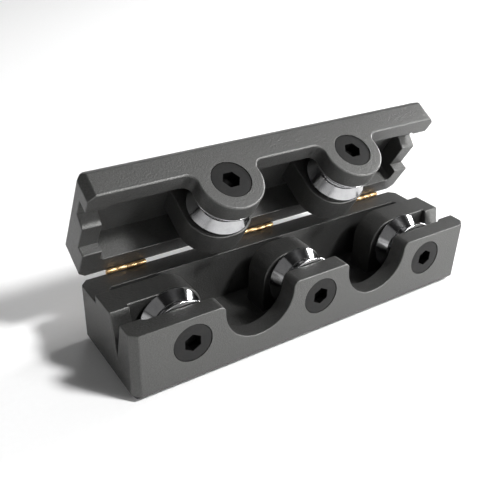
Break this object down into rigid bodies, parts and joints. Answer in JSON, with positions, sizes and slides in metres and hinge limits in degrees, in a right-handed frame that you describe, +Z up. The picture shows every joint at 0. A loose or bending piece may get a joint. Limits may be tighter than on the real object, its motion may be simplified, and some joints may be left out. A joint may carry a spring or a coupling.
{
  "type": "wire straightener",
  "caption": "Palm-sized hinged wire straightener: grooved ball-bearing rollers in the base and in the lid bend a wire to and fro as it is drawn through.",
  "frame": {"origin": "middle of the flat underside of the base", "axes": "+X along the wire, +Y from the open front to the hinge, +Z up"},
  "size_m": [0.076, 0.0282, 0.0349],
  "materials": {
    "body_grey": "bead-blasted and dyed dark grey, fine grain",
    "roller_chrome": "polished",
    "bearing_steel": "ground",
    "ball_steel": "polished",
    "cage_brass": "pressed brass",
    "shield_steel": "pressed",
    "screw_black": "black oxide",
    "washer_steel": "zinc",
    "hinge_brass": "polished"
  },
  "bodies": {
    "base": {"base_body": "body_grey", "hinge_screws_base": "hinge_brass", "hinge_base_leaf_left": "hinge_brass", "hinge_base_leaf_middle": "hinge_brass", "hinge_base_leaf_right": "hinge_brass", "hinge_pin_left": "hinge_brass", "hinge_pin_middle": "hinge_brass", "hinge_pin_right": "hinge_brass", "inner_ring_base_left": "bearing_steel", "inner_ring_base_middle": "bearing_steel", "inner_ring_base_right": "bearing_steel", "axle_screw_base_left": "screw_black", "axle_screw_base_middle": "screw_black", "axle_screw_base_right": "screw_black", "washers_base_left": "washer_steel", "washers_base_middle": "washer_steel", "washers_base_right": "washer_steel"},
    "lid": {"lid_body": "body_grey", "hinge_screws_lid": "hinge_brass", "hinge_lid_leaf_left": "hinge_brass", "hinge_lid_leaf_middle": "hinge_brass", "hinge_lid_leaf_right": "hinge_brass", "inner_ring_lid_left": "bearing_steel", "inner_ring_lid_right": "bearing_steel", "axle_screw_lid_left": "screw_black", "axle_screw_lid_right": "screw_black", "washers_lid_left": "washer_steel", "washers_lid_right": "washer_steel"},
    "roller_base_left": {"outer_ring_base_left": "roller_chrome", "shields_base_left": "shield_steel"},
    "ball_train_base_left": {"balls_base_left": "ball_steel", "cage_base_left": "cage_brass"},
    "roller_base_middle": {"outer_ring_base_middle": "roller_chrome", "shields_base_middle": "shield_steel"},
    "ball_train_base_middle": {"balls_base_middle": "ball_steel", "cage_base_middle": "cage_brass"},
    "roller_base_right": {"outer_ring_base_right": "roller_chrome", "shields_base_right": "shield_steel"},
    "ball_train_base_right": {"balls_base_right": "ball_steel", "cage_base_right": "cage_brass"},
    "roller_lid_left": {"outer_ring_lid_left": "roller_chrome", "shields_lid_left": "shield_steel"},
    "ball_train_lid_left": {"balls_lid_left": "ball_steel", "cage_lid_left": "cage_brass"},
    "roller_lid_right": {"outer_ring_lid_right": "roller_chrome", "shields_lid_right": "shield_steel"},
    "ball_train_lid_right": {"balls_lid_right": "ball_steel", "cage_lid_right": "cage_brass"}
  },
  "joints": [
    {"name": "lid_hinge", "type": "hinge", "parent": "base", "child": "lid", "pos_m": [0, 0.01075, 0.01265], "axis": [-1, 0, 0], "range_deg": [-59.5, 36.5]},
    {"name": "roller_base_left_spin", "type": "hinge", "parent": "base", "child": "roller_base_left", "pos_m": [-0.027, -0.00485, 0.00865], "axis": [0, 1, 0], "continuous": true},
    {"name": "ball_train_base_left_spin", "type": "hinge", "parent": "base", "child": "ball_train_base_left", "pos_m": [-0.027, -0.00485, 0.00865], "axis": [0, 1, 0], "continuous": true},
    {"name": "roller_base_middle_spin", "type": "hinge", "parent": "base", "child": "roller_base_middle", "pos_m": [0, -0.00485, 0.00865], "axis": [0, 1, 0], "continuous": true},
    {"name": "ball_train_base_middle_spin", "type": "hinge", "parent": "base", "child": "ball_train_base_middle", "pos_m": [0, -0.00485, 0.00865], "axis": [0, 1, 0], "continuous": true},
    {"name": "roller_base_right_spin", "type": "hinge", "parent": "base", "child": "roller_base_right", "pos_m": [0.027, -0.00485, 0.00865], "axis": [0, 1, 0], "continuous": true},
    {"name": "ball_train_base_right_spin", "type": "hinge", "parent": "base", "child": "ball_train_base_right", "pos_m": [0.027, -0.00485, 0.00865], "axis": [0, 1, 0], "continuous": true},
    {"name": "roller_lid_left_spin", "type": "hinge", "parent": "lid", "child": "roller_lid_left", "pos_m": [-0.0135, 0.00262, 0.02596], "axis": [0, 0.5075, -0.8616], "continuous": true},
    {"name": "ball_train_lid_left_spin", "type": "hinge", "parent": "lid", "child": "ball_train_lid_left", "pos_m": [-0.0135, 0.00262, 0.02596], "axis": [0, 0.5075, -0.8616], "continuous": true},
    {"name": "roller_lid_right_spin", "type": "hinge", "parent": "lid", "child": "roller_lid_right", "pos_m": [0.0135, 0.00262, 0.02596], "axis": [0, 0.5075, -0.8616], "continuous": true},
    {"name": "ball_train_lid_right_spin", "type": "hinge", "parent": "lid", "child": "ball_train_lid_right", "pos_m": [0.0135, 0.00262, 0.02596], "axis": [0, 0.5075, -0.8616], "continuous": true}
  ],
  "couplings": [
    {"joint": "ball_train_base_left_spin", "follows": "roller_base_left_spin", "ratio": 0.59231},
    {"joint": "ball_train_base_middle_spin", "follows": "roller_base_middle_spin", "ratio": 0.59231},
    {"joint": "ball_train_base_right_spin", "follows": "roller_base_right_spin", "ratio": 0.59231},
    {"joint": "ball_train_lid_left_spin", "follows": "roller_lid_left_spin", "ratio": 0.59231},
    {"joint": "ball_train_lid_right_spin", "follows": "roller_lid_right_spin", "ratio": 0.59231}
  ]
}
